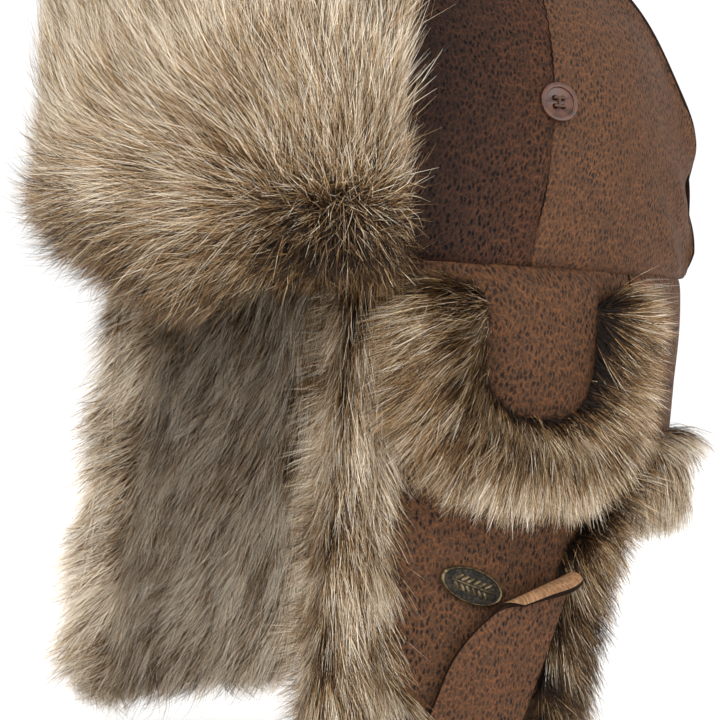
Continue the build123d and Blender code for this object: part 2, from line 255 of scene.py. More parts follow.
def leather(name, ridge, body, pit, size, depth, gloss=0.5, shade=None):
    """Distressed faux leather: small dark pits between warmer ridges. size is the pits' spacing in mm,
    shade the two distances from the seam between which painted shade darkens it."""
    m = Nodes(name)
    raw = m.fabric((1, 1, 1))
    warp = m.add("TexNoise", {"Vector": raw, "Scale": 0.8 / size, "Detail": 3.0})
    shift = m.add("VectorMath", {0: warp.outputs["Color"], 1: (0.5, 0.5, 0.5)}, operation="SUBTRACT")
    shift = m.add("VectorMath", {0: shift.outputs[0], "Scale": size * 1.3}, operation="SCALE")
    warped = m.add("VectorMath", {0: raw, 1: shift.outputs[0]}, operation="ADD").outputs[0]
    pits, rims = [], []
    for grain, low, high in ((1.0, 0.15, 0.42), (1.7, 0.12, 0.40)):
        k = grain / size
        cells = m.add("Mapping", {"Vector": warped, "Scale": (k, 0.52 * k, k)}).outputs[0]
        spots = m.add("TexVoronoi", {"Vector": cells, "Scale": 1.0}, voronoi_dimensions="2D")
        edges = m.add("TexVoronoi", {"Vector": cells, "Scale": 1.0}, voronoi_dimensions="2D",
                      feature="DISTANCE_TO_EDGE")
        pick = m.add("SeparateColor", {0: spots.outputs["Color"]}).outputs[0]
        spot = m.math("SUBTRACT", 1.0, m.ramp(spots.outputs["Distance"], low, high))
        pits.append(m.math("MULTIPLY", spot, m.ramp(pick, 0.0, 0.8, 0.15, 1.0)))
        rims.append(m.ramp(edges.outputs["Distance"], 0.02, 0.22, 1.0, 0.0))
    broad = m.noise(raw, 0.03, 3.0, 0.55)
    blotch = m.noise(raw, 0.16, 4.0, 0.6)
    mottle = m.noise(raw, 0.9, 3.0, 0.6)
    rim = m.math("MAXIMUM", rims[0], m.math("MULTIPLY", rims[1], 0.6))
    warm = m.math("MULTIPLY", rim, m.ramp(blotch, 0.3, 0.7, 0.35, 1.0))
    tone = m.mix(warm, body, ridge)
    tone = m.mix(m.ramp(mottle, 0.35, 0.72, 0.0, 0.45), tone, pit)
    spot = m.math("MAXIMUM", pits[0], m.math("MULTIPLY", pits[1], m.ramp(blotch, 0.35, 0.65, 0.75, 0.25)))
    strength = m.ramp(broad, 0.35, 0.65, 0.6 * depth, depth)
    tone = m.mix(m.math("MULTIPLY", spot, strength, True), tone, pit)
    # painted shade: toward the front edge the leather darkens to the pit colour, as under the visor's shadow
    if shade:
        run = m.add("SeparateXYZ", {0: raw}).outputs[0]
        tone = m.mix(m.ramp(run, shade[0], shade[1], 0.62, 0.0), tone, pit)
    m.put(m.out.inputs["Base Color"], tone)
    m.put(m.out.inputs["Roughness"], m.ramp(spot, 0.0, 1.0, gloss, gloss + 0.22))
    m.out.inputs["Specular IOR Level"].default_value = 0.1
    height = m.math("ADD", m.math("MULTIPLY", spot, -1.0), m.math("MULTIPLY", rims[0], 0.35))
    height = m.math("ADD", height, m.math("MULTIPLY", mottle, 0.4))
    m.bump(height, 0.6, 0.0003)
    return m.mat


def woven(name, dark, light, pitch, gloss=0.8, bump=0.4):
    """Fine woven cloth."""
    m = Nodes(name)
    raw = m.fabric((2 * math.pi / pitch,) * 3)
    sep = m.add("SeparateXYZ", {0: raw})
    a = m.math("SINE", sep.outputs[0])
    b = m.math("SINE", sep.outputs[1])
    w = m.math("MULTIPLY", m.math("ADD", m.math("MULTIPLY", a, b), 1.0), 0.5)
    n = m.noise(m.fabric((1, 1, 1)), 0.2, 4.0)
    tone = m.mix(m.math("MULTIPLY", w, n), dark, light)
    m.put(m.out.inputs["Base Color"], tone)
    m.put(m.out.inputs["Roughness"], m.ramp(n, 0.3, 0.7, gloss - 0.1, gloss + 0.1))
    m.bump(w, bump, 0.0002)
    return m.mat


def object_noise(name, a, b, scale, rough, metal=0.0, bump=0.2, coat=0.0):
    """Hard material with colour and roughness variation, on the piece's own coordinates."""
    m = Nodes(name)
    vec = m.add("TexCoord").outputs["Object"]
    n = m.noise(vec, scale, 4.0)
    m.put(m.out.inputs["Base Color"], m.mix(m.ramp(n, 0.4, 0.6), a, b))
    m.put(m.out.inputs["Roughness"], m.ramp(n, 0.3, 0.7, rough - 0.08, rough + 0.12))
    m.out.inputs["Metallic"].default_value = metal
    m.out.inputs["Coat Weight"].default_value = coat
    m.bump(n, bump, 0.0001)
    return m.mat


# the front side panels: a darker copy of the rear leather with painted shade, shaded further toward the visor
skin_front_shaded = leather("leather_front_shaded", colour("603a24"), colour("38251a"), colour("0e0e10"), 1.8, 1.0, 0.65,
                     (-62, 12))
skin_rear = leather("leather_rear", colour("714a2f"), colour("513828"), colour("1d1f20"), 1.7, 0.9, 0.7)
skin_low = leather("leather_low", colour("70482c"), colour("4a3526"), colour("17181a"), 1.8, 1.0, 0.7)
skin_tab = leather("leather_tab", colour("744a2f"), colour("503929"), colour("1b1c1d"), 1.7, 1.0, 0.7)
raw_edge = object_noise("raw_edge", colour("150c08"), colour("26170f"), 900, 0.8)
raw_edge.node_tree.nodes["Principled BSDF"].inputs["Specular IOR Level"].default_value = 0.1
suede = object_noise("leather_back", colour("3b281d"), colour("54392a"), 700, 0.85, bump=0.4)
tab_back = leather("tab_back", colour("a8825f"), colour("8a6547"), colour("5a4432"), 1.6, 0.35, 0.6)
lining_mat = woven("lining_satin", colour("2a1b13"), colour("4b3324"), 0.8, 0.45, 0.15)
band_mat = woven("sweatband_weave", colour("1d130e"), colour("3a281d"), 1.3, 0.85, 0.5)
thread_mat = woven("stitch_thread", colour("2b1a12"), colour("4a2f20"), 0.35, 0.7, 0.5)
resin = object_noise("button_resin", colour("3c2015"), colour("54301f"), 260, 0.32, bump=0.04, coat=0.1)
button_thread = woven("button_thread_weave", colour("3b2417"), colour("5c3d2b"), 0.3, 0.7, 0.4)
brass = object_noise("antique_brass", colour("76664b"), colour("4a3f2d"), 420, 0.42, 0.85, 0.25)
brass_dark = object_noise("brass_recess", colour("2f281d"), colour("16130e"), 800, 0.6, 0.6, 0.6)

# from the dark under the pile to the palest tips
FUR_CODES = ("1a110a", "2b1b0f", "412a16", "5a3f23", "765533", "8e6e46", "a58761", "b99f7c", "cdb798",
             "e0cfb4", "f0e4d0")
fur_mats = []
for step, code in enumerate(FUR_CODES):
    strand = bpy.data.materials.new(f"fur_{step:02d}")
    strand.use_nodes = True
    shader = strand.node_tree.nodes["Principled BSDF"]
    shader.inputs["Base Color"].default_value = colour(code)
    shader.inputs["Roughness"].default_value = 0.5
    shader.inputs["Specular IOR Level"].default_value = 0.15
    fur_mats.append(strand)
pile_mat = object_noise("fur_pile", colour("2a1f16"), colour("3b2c1f"), 400, 0.95, bump=0.6)
pile_mat.node_tree.nodes["Principled BSDF"].inputs["Specular IOR Level"].default_value = 0.05


# ------------------------------------------------------------------ crown

def attach(ob, body, slot, *nodes):
    """Ride a body and stand in for CAD nodes, if any. slot is not used."""
    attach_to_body(ob, body)
    if nodes:
        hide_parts(*nodes)


def soften(P, N, seed, amount=0.8):
    """Low, wide dents and swells, in mm."""
    return P + N * (wave(P, 62, seed) * amount + wave(P, 24, seed + 1) * amount * 0.3)[..., None]


def seam_wander(y, z):
    """How far the raw seam edge leans outward and how much of its height is left, along the gusset's seam."""
    fold = np.where(y > 0, 1.0, 0.4)
    pinch = np.exp(-((z - 31) / 12) ** 2) * fold
    bulge = np.exp(-((z - 57) / 13) ** 2) * fold
    ripple = 0.8 * np.sin(z * 0.13 + 0.4) + 0.5 * np.sin(y * 0.16 + z * 0.21)
    lean = ripple - 4.2 * pinch + 1.6 * bulge
    rest = 1 - 0.5 * pinch + 0.18 * bulge
    return lean, rest


def side_panel(part, sign, name):
    """Front or rear side panel between the gusset's seam, the side seam and the lower edge."""
    nv, nu = (110, 100)
    flat_share = 1 - (GUSSET / AX) ** 2
    z_end = WALL + (TOP - WALL) * math.sqrt(flat_share) - 0.7
    v = np.linspace(0, 1, nv) ** 0.93
    z = v * z_end
    edge = AY * np.sqrt(np.clip(flat_share - rise(z) ** 2, 0, None))
    seam = np.clip(SEAM_FOOT + z * SEAM_LEAN, -edge + 0.2, edge - 0.2)
    u = np.linspace(0, 1, nu)[None, :]
    if part == "front":
        y = -edge[:, None] * (1 - u) + seam[:, None] * u
    else:
        y = seam[:, None] * (1 - u) + edge[:, None] * u
    zz = np.broadcast_to(z[:, None], y.shape).copy()
    P = np.stack([side_x(y, zz), y, zz], -1)
    N = grid_normals(P)
    N = np.where((N * outward(P)).sum(-1, keepdims=True) < -0.2, -N, N)
    to_seam = np.abs(y - seam[:, None])
    to_gusset = np.maximum(side_x(y, zz) - GUSSET, 0)
    lean, rest = seam_wander(y, zz)
    near = np.exp(-to_gusset / 6.5)
    lift = 4.2 * rest * near - 0.9 * np.exp(-to_seam / 1.3) + 0.5 * np.exp(-((to_seam - 5) / 3) ** 2)
    lift += 0.35 * np.exp(-to_seam / 4) * np.sin(zz * 1.7 + 2 * np.sin(zz * 0.23))
    lift += -2.2 * np.exp(-zz / 2.2)
    # soft folds near the rear lower corner
    if part == "rear":
        fold = np.exp(-((y - 74) / 22) ** 2 - ((zz - 22) / 20) ** 2)
        lift += 1.6 * fold * np.sin(0.16 * (y * 1.1 + zz * 1.3))
    P = P + np.array([1.0, 0, 0]) * (lean * near)[..., None]
    P = soften(P + N * lift[..., None], N, 11 if part == "front" else 21)
    arc = np.cumsum(np.linalg.norm(np.diff(P, axis=1, prepend=P[:, :1]), axis=-1), axis=1)
    arc -= arc[:, :1] if part == "rear" else arc[:, -1:]
    climb = np.cumsum(np.linalg.norm(np.diff(P[:, nu // 2], axis=0, prepend=P[:1, nu // 2]), axis=-1))
    F = np.stack([arc, climb[:, None] + 0 * arc, 0 * arc + (0 if part == "front" else 60)], -1)
    mats = [skin_front_shaded if part == "front" else skin_rear, suede, raw_edge]
    ob = sheet_object(name, P, 1.7, F, mats, sign, N)
    attach(ob, "crown", "leather", name)


def profile_point(t, half_x):
    """Point over the head from the front edge (t=0) to the rear edge (t=1) on the plane x = half_x."""
    k = np.sqrt(np.clip(1 - (half_x / AX) ** 2, 0, 1))
    b, c = AY * k, (TOP - WALL) * k
    share = 0.06
    wall = np.clip(np.minimum(t, 1 - t) / share, 0, 1) * WALL
    a = np.clip((t - share) / (1 - 2 * share), 0, 1) * math.pi
    return np.stack([half_x + 0 * t, -b * np.cos(a), wall + c * np.sin(a)], -1)


for side, sign in SIDES:
    side_panel("front", sign, f"crown_side_front_{side}")
    side_panel("rear", sign, f"crown_side_rear_{side}")

tt = np.linspace(0, 1, 220)[:, None]
xx = np.linspace(-GUSSET, GUSSET, 60)[None, :]
P = profile_point(tt + 0 * xx, xx + 0 * tt)
N = grid_normals(P)
N *= np.where((N * (P - (0, 0, 10))).sum(-1, keepdims=True) < 0, -1, 1)
edge_gap = GUSSET - np.abs(xx)
lift = 2.0 * np.exp(-edge_gap / 3.5) + 0.8 * (1 - (xx / GUSSET) ** 2) - 2.2 * np.exp(-P[..., 2] / 2.2)
P = soften(P + N * lift[..., None], N, 31)
climb = np.cumsum(np.linalg.norm(np.diff(P[:, 30], axis=0, prepend=P[:1, 30]), axis=-1))
F = np.stack([xx + 0 * tt, climb[:, None] + 0 * xx, 0 * xx * tt + 120], -1)
gusset = sheet_object("crown_gusset", P, 1.7, F, [skin_rear, suede, raw_edge], 1.0, N)
attach(gusset, "crown", "leather", "crown_gusset")


def welt(side, sign):
    """Raised seam allowance with a raw dark edge, standing along the gusset's seam and slightly wavy."""
    n = 420
    t = np.linspace(0.004, 0.996, n)
    base = profile_point(t, np.full(n, GUSSET - 0.3))
    along = unit(np.gradient(base, axis=0))
    N3 = unit(np.stack([base[:, 0] / AX ** 2, base[:, 1] / AY ** 2, rise(base[:, 2]) / (TOP - WALL)], -1))
    up = unit(N3 * (0.55, 1, 1))
    across = unit(np.cross(along, up))
    across *= np.sign(across[:, :1])
    s = np.cumsum(np.linalg.norm(np.diff(base, axis=0, prepend=base[:1]), axis=-1))
    lean, rest = seam_wander(base[:, 1], base[:, 2])
    height = 5.5 * rest * np.clip(np.minimum(s, s[-1] - s) / 9, 0.05, 1) ** 0.5
    rows = []
    half = ((2.2, -1.5), (1.0, 0.9), (0.8, 2.2), (0.8, 4.0), (0.7, 4.7), (0.3, 5.0))
    for x, h in half + tuple((-x, h) for x, h in half[::-1]):
        share = max(h / 5.0, 0)
        rows.append(base + up * (h * height / 5.0)[:, None] + across * (x + lean * share ** 1.3)[:, None])
    P = np.stack(rows, 1)
    m = len(rows)
    ids = np.arange(n * m).reshape(n, m)
    q = np.stack([ids[:-1, :-1], ids[1:, :-1], ids[1:, 1:], ids[:-1, 1:]], -1)
    kinds = np.zeros((n - 1, m - 1), int)
    kinds[:, 3:8] = 1
    F = np.stack([np.broadcast_to(np.arange(m) * 1.2, (n, m)), np.broadcast_to(s[:, None], (n, m)),
                  np.full((n, m), 200.0)], -1)
    verts, quads = P.reshape(-1, 3), q.reshape(-1, 4)
    if sign < 0:
        verts, quads = verts * (-1, 1, 1), quads[:, ::-1]
    name = f"seam_welt_{side}"
    ob = fast_mesh(name, verts, quads, kinds.ravel(), [skin_rear, raw_edge], F.reshape(-1, 3))
    attach(ob, "crown", "seam_edge", name)


def stitches(name, path, out, body, slot, length=2.3, gap=1.5, radius=0.3, start=2.0):
    """Row of sewn stitches: a small rounded bar each, sinking into the leather at both ends."""
    seg = np.linalg.norm(np.diff(path, axis=0), axis=-1)
    s = np.concatenate([[0], np.cumsum(seg)])
    verts, quads = [], []
    sides = 6
    count = int((s[-1] - 2 * start) / (length + gap))
    for i in range(count):
        span = start + i * (length + gap) + np.array([0, 0.15, 0.5, 0.85, 1]) * length
        c = np.stack([np.interp(span, s, path[:, k]) for k in range(3)], -1)
        o = unit(np.stack([np.interp(span, s, out[:, k]) for k in range(3)], -1))
        d = unit(np.gradient(c, axis=0))
        w = unit(np.cross(d, o))
        r = radius * np.array([0.35, 0.9, 1.0, 0.9, 0.35])
        h = radius * np.array([-0.9, 0.15, 0.45, 0.15, -0.9])
        first = len(verts) * 5 * sides
        ring = []
        for k in range(sides):
            a = k * 2 * math.pi / sides
            ring.append(c + w * (r * math.cos(a))[:, None] + o * (h + r * math.sin(a))[:, None])
        verts.append(np.stack(ring, 1).reshape(-1, 3))
        for j in range(4):
            for k in range(sides):
                k2 = (k + 1) % sides
                near, far = first + j * sides, first + (j + 1) * sides
                quads.append([near + k, near + k2, far + k2, far + k])
    verts = np.concatenate(verts)
    ob = fast_mesh(name, verts, np.array(quads), np.zeros(len(quads), int), [thread_mat], verts)
    attach(ob, body, slot)


for side, sign in SIDES:
    welt(side, sign)
    z = np.linspace(4, 112, 80)
    y = SEAM_FOOT + z * SEAM_LEAN + 1.9
    path = np.stack([side_x(y, z, -0.25), y, z], -1)
    N = unit(np.stack([path[:, 0] / AX ** 2, path[:, 1] / AY ** 2, rise(z) / (TOP - WALL)], -1))
    path = path + N * (-0.15 + wave(path, 62, 21) * 0.8)[:, None]
    stitches(f"side_seam_stitches_{side}", path * (sign, 1, 1), N * (sign, 1, 1), "crown", "thread")

# quilted lining, seen from below
ph = np.linspace(0, 2 * math.pi, 181)[None, :]
th = np.linspace(0, 1, 70)[:, None]
depth = 9.0                                         # of the lining's face under the leather's
wall_share = 0.12
MEAN_RADIUS = 95.0
low = np.clip(th / wall_share, 0, 1) * WALL
arc_a = np.clip((th - wall_share) / (1 - wall_share), 0, 1) * (math.pi / 2 - 0.01)
shrink = np.cos(arc_a)
quilt_s = ph * MEAN_RADIUS * (0.35 + 0.65 * shrink)
quilt_t = th * 190
QUILT = 42.0                                        # across one diamond, in mm
one_way = np.abs(np.sin((quilt_s + quilt_t) * math.pi / QUILT)) ** 0.5
puff = one_way * np.abs(np.sin((quilt_s - quilt_t) * math.pi / QUILT)) ** 0.5
level = depth - 2.2 * (puff - 0.5) * np.clip(th * 8, 0, 1)
P = np.stack([(AX - level) * shrink * np.sin(ph), -(AY - level) * shrink * np.cos(ph),
              low + (TOP - level - WALL) * np.sin(arc_a) + 0 * ph], -1)
N = grid_normals(P)
N *= np.where((N * (P - (0, 0, 10))).sum(-1, keepdims=True) > 0, -1, 1)
F = np.stack([quilt_s + 0 * th, quilt_t + 0 * ph, 0 * ph * th + 300], -1)
lining = sheet_object("crown_lining", P, 3.5, F, [lining_mat, lining_mat, lining_mat], 1.0, N)
attach(lining, "crown", "lining_fabric", "crown_lining")

BAND = 29.0                                         # height of the sweatband
th = np.linspace(0, 1, 12)[:, None]
level = -9.0 - 2.0 - 0.5 * np.sin(th * math.pi) + 0.25 * np.sin(ph * 26)
P = np.stack([(AX + level) * np.sin(ph), -(AY + level) * np.cos(ph), 0.4 + th * BAND + 0 * ph], -1)
F = np.stack([ph * MEAN_RADIUS + 0 * th, th * BAND + 0 * ph, 0 * ph * th + 400], -1)
attach(sheet_object("sweatband", P, -1.6, F, [band_mat] * 3), "crown", "sweatband_fabric", "sweatband")


def refined(node, name, body, slot, materials, bevel, tilt=None):
    """A copy of a hard CAD node with rounded edges, turned a little about a point if asked."""
    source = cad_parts[node]
    me = source.data.copy()
    ob = bpy.data.objects.new(name, me)
    bpy.context.scene.collection.objects.link(ob)
    weld = ob.modifiers.new("weld", "WELD")
    weld.merge_threshold = 0.00001
    bev = ob.modifiers.new("bevel", "BEVEL")
    bev.width = bevel * MM
    bev.segments = 3
    bev.limit_method = "ANGLE"
    bev.angle_limit = math.radians(40)
    dg = bpy.context.evaluated_depsgraph_get()
    made = bpy.data.meshes.new_from_object(ob.evaluated_get(dg))
    ob.modifiers.clear()
    ob.data = made
    made.materials.clear()
    for m in materials:
        made.materials.append(m)
    made.shade_smooth()
    made.set_sharp_from_angle(angle=math.radians(35))
    for poly in made.polygons:
        poly.material_index = 0
    if tilt:
        centre, turn = tilt
        made.transform(Matrix.Translation(centre) @ turn @ Matrix.Translation(-centre))
    attach(ob, body, slot, node)


for side, sign in SIDES:
    node = f"button_{side}"
    low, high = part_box(node)
    slack = ((low + high) / 2, Matrix.Rotation(math.radians(-13 * sign), 4, "Z"))
    refined(node, node + "_rounded", "crown", "button_resin", [resin], 0.35, slack)
    node = f"button_thread_{side}"
    refined(node, node + "_rounded", "crown", "thread", [button_thread], 0.12, slack)


# ------------------------------------------------------------------ flaps of leather

def flap_edges(z):
    """y of the ear flap leather's front and rear edges at a height."""
    front = np.interp(-z, [0, 100, 150, 182], [-68, -69, -65, -62])
    rear = np.interp(-z, [0, 66, 78, 104, 116, 182], [SPLIT, SPLIT, 32, 12, 7.5, 2])
    return front, rear


def flap_leather(side, sign):
    """Ear flap leather, its top blended from the crown to the flap."""
    name = f"ear_flap_leather_{side}"
    nv, nu = 130, 80
    z = np.linspace(2.4, FLAP_LOW, nv)
    front, rear = flap_edges(z)
    u_end = np.clip((-z - 156) / 26, 0, 1)
    keep = np.sqrt(np.clip(1 - u_end ** 2.2, 0, 1))
    mid = (front + rear) / 2
    front, rear = mid + (front - mid) * np.maximum(keep, 0.25), mid + (rear - mid) * np.maximum(keep, 0.25)
    u = np.linspace(0, 1, nu)[None, :]
    y = front[:, None] * (1 - u) + rear[:, None] * u
    zz = np.broadcast_to(z[:, None], y.shape).copy()
    inset = np.minimum(np.minimum(u, 1 - u) * (rear - front)[:, None], (z - FLAP_LOW)[:, None])
    level = 1.6 * (1 - np.exp(-inset / 7)) - 1.2 - 1.3 * np.exp(zz / 2.4)
    P = np.stack([side_x(y, zz * 0, level), y, zz], -1)
    N = outward(P)
    P = soften(P, N, 41, 0.7)
    F = np.stack([y * 1.05 + 0 * zz, zz, 0 * zz + 500], -1)
    ob = sheet_object(name, P, 1.6, F, [skin_low, suede, raw_edge], sign, N)
    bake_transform(ob)
    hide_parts(name)


def vent_leather(side, sign):
    """Vent flap over the ear, swelling out below its hinge."""
    name = f"vent_leather_{side}"
    nv, nu = 90, 70
    y0, y1 = VENT_LO[1], VENT_HI[1]
    z = np.linspace(1.2, VENT_LO[2] - 1, nv)
    half = (y1 - y0) / 2
    mid = (y0 + y1) / 2
    drop = np.clip((-z - 34) / 28.5, 0, 1)
    width = half * np.sqrt(np.clip(1 - drop ** 2.3, 0, 1)) * (1 + 0.05 * np.sin(-z / 30))
    u = np.linspace(-1, 1, nu)[None, :]
    y = mid + u * np.maximum(width, 3.0)[:, None]
    zz = np.broadcast_to(z[:, None], y.shape).copy()
    inset = np.minimum((1 - np.abs(u)) * width[:, None], (z - z[-1])[:, None])
    level = 3.0 + 7.5 * (1 - np.exp(-inset / 8.0)) - 7.5 * np.exp(zz / 5.5)
    P = np.stack([side_x(y, zz * 0, level), y, zz], -1)
    N = grid_normals(P)
    N *= np.where((N * outward(P)).sum(-1, keepdims=True) < 0, -1, 1)
    P = soften(P, N, 51, 0.5)
    F = np.stack([y * 1.05 + 700, zz, 0 * zz + 600], -1)
    ob = sheet_object(name, P, 1.6, F, [skin_low, suede, raw_edge], sign, N)
    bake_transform(ob)
    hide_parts(name)


def chin_tab(side, sign):
    """Two layers; the upper end stands off the flap and curls over outward."""
    nv, nu = 110, 44
    u = np.linspace(0, 1, nu)[None, :]
    w = np.linspace(0, 1, nv)[:, None]
    low = TAB_LOW
    bend_at = -129.0 + 11.0 * u
    straight = bend_at - low
    radius = 5.0
    swing = math.radians(122) * (0.72 + 0.28 * u)
    tail = 0.4 + 3.4 * np.sin(u * 2.3) ** 2
    total = straight + radius * swing + tail
    run = w * total
    a = np.clip((run - straight) / radius, 0, swing)
    rest = np.clip(run - straight - radius * swing, 0, None)
    lean = 4.6 * np.clip(run / straight, 0, 1)
    level = 3.6 - 2.2 * np.exp(-run / 3.0) + lean + radius * (1 - np.cos(a)) + rest * np.sin(a)
    zz = low + np.minimum(run, straight) + radius * np.sin(a) + rest * np.cos(a)
    front = -49.0 + 12.0 * w + 17.0 * np.clip((w - 0.35) / 0.65, 0, 1) ** 2.4
    rear = -11.0 + 15.0 * np.minimum(w, 0.8) / 0.8 - 2.0 * np.clip((w - 0.8) / 0.2, 0, 1)
    y = front * (1 - u) + rear * u
    level = level + 1.6 * (1 - (2 * u - 1) ** 2)
    P = np.stack([side_x(y, zz * 0, level), y, zz], -1)
    N = grid_normals(P)
    if (N[10, 10] * outward(P[10, 10])).sum() < 0:
        N = -N
    P = soften(P, N, 61, 0.5)
    F = np.stack([y * 1.05 + 900, run + 0 * u, 0 * y + 700], -1)
    name = f"chin_tab_leather_{side}"
    ob = sheet_object(name, P, 1.3, F, [skin_tab, raw_edge, raw_edge], sign, N)
    attach(ob, f"chin_tab_{side}", "leather", name)
    name = f"chin_tab_backing_{side}"
    ob = sheet_object(name, P - N * 1.4, 0.9, F + (0, 0, 50), [raw_edge, tab_back, raw_edge], sign, N)
    attach(ob, f"chin_tab_{side}", "tab_backing", name)


for side, sign in SIDES:
    flap_leather(side, sign)
    vent_leather(side, sign)
    chin_tab(side, sign)

# neck flap
phi0 = math.acos(-(SPLIT + 1.0) / AY)
phi = np.linspace(phi0, 2 * math.pi - phi0, 190)[None, :]
z = np.linspace(2.4, NECK_LOW, 54)[:, None]
inset = np.minimum(z - NECK_LOW, (phi - phi0) * 100 + 6)
level = 1.4 * (1 - np.exp(-inset / 7)) - 1.0 - 1.3 * np.exp(z / 2.4)
P = np.stack([(AX + level) * np.sin(phi), -(AY + level) * np.cos(phi), z + 0 * phi], -1)
N = outward(P)
P = soften(P, N, 71, 0.8)
F = np.stack([phi * 104 + 0 * z, z + 0 * phi, 0 * z * phi + 800], -1)
ob = sheet_object("neck_flap_leather", P, 1.6, F, [skin_low, suede, raw_edge], 1.0, N)
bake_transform(ob)
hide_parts("neck_flap_leather")

# visor leather, seen from behind and above
z = np.linspace(VISOR_LO[2] + 0.5, VISOR_HI[2], 90)[:, None]
turn = np.clip((z - (VISOR_HI[2] - 42)) / 42, 0, 1)
half = (VISOR_HI[0] - 42) + 42 * np.sqrt(np.clip(1 - turn ** 2, 0, 1))
x = np.linspace(-1, 1, 120)[None, :] * half
level = VISOR_LEVEL - 7.0 * np.exp(-z / 7.0)
P = np.stack([x, -(AY + level) * np.sqrt(np.clip(1 - (x / (AX + level)) ** 2, 0.01, 1)), z + 0 * x], -1)
N = outward(P)
P = soften(P, N, 81, 0.9)
F = np.stack([x * 1.1, z + 0 * x, 0 * z * x + 900], -1)
ob = sheet_object("visor_leather", P, 1.8, F, [suede, skin_low, raw_edge], 1.0, N)
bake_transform(ob)
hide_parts("visor_leather")


# ------------------------------------------------------------------ fur

# the hair stays within this box, in mm: the CAD model's, grown a little
HAIR_BOX = [
    [edge / MM + way * (0.03 * size / MM + 8.5) for edge, size in zip(corner, cad_box[1] - cad_box[0])]
    for corner, way in zip(cad_box, (-1, 1))
]
PIECE_HAIRS = 23000


def skin_of(node, inset, voxel=3.0, rounds=10, squeeze=None):
    """Rounded pile surface inside a fur solid: vertices, triangles and normals in mm."""
    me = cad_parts[node].data.copy()
    ob = bpy.data.objects.new("pile_" + node, me)
    bpy.context.scene.collection.objects.link(ob)
    rm = ob.modifiers.new("remesh", "REMESH")
    rm.mode = "VOXEL"
    rm.voxel_size = voxel * MM
    sm = ob.modifiers.new("smooth", "SMOOTH")
    sm.factor = 0.5
    sm.iterations = rounds
    ob.modifiers.new("tri", "TRIANGULATE")
    dg = bpy.context.evaluated_depsgraph_get()
    got = bpy.data.meshes.new_from_object(ob.evaluated_get(dg))
    V = np.empty(len(got.vertices) * 3)
    got.vertices.foreach_get("co", V)
    N = np.empty(len(got.vertices) * 3)
    got.vertices.foreach_get("normal", N)
    T = np.empty(len(got.polygons) * 3, int)
    got.polygons.foreach_get("vertices", T)
    bpy.data.objects.remove(ob)
    V, N, T = V.reshape(-1, 3) / MM, unit(N.reshape(-1, 3)), T.reshape(-1, 3)
    V = V - N * inset
    return (squeeze(V) if squeeze else V), T, N


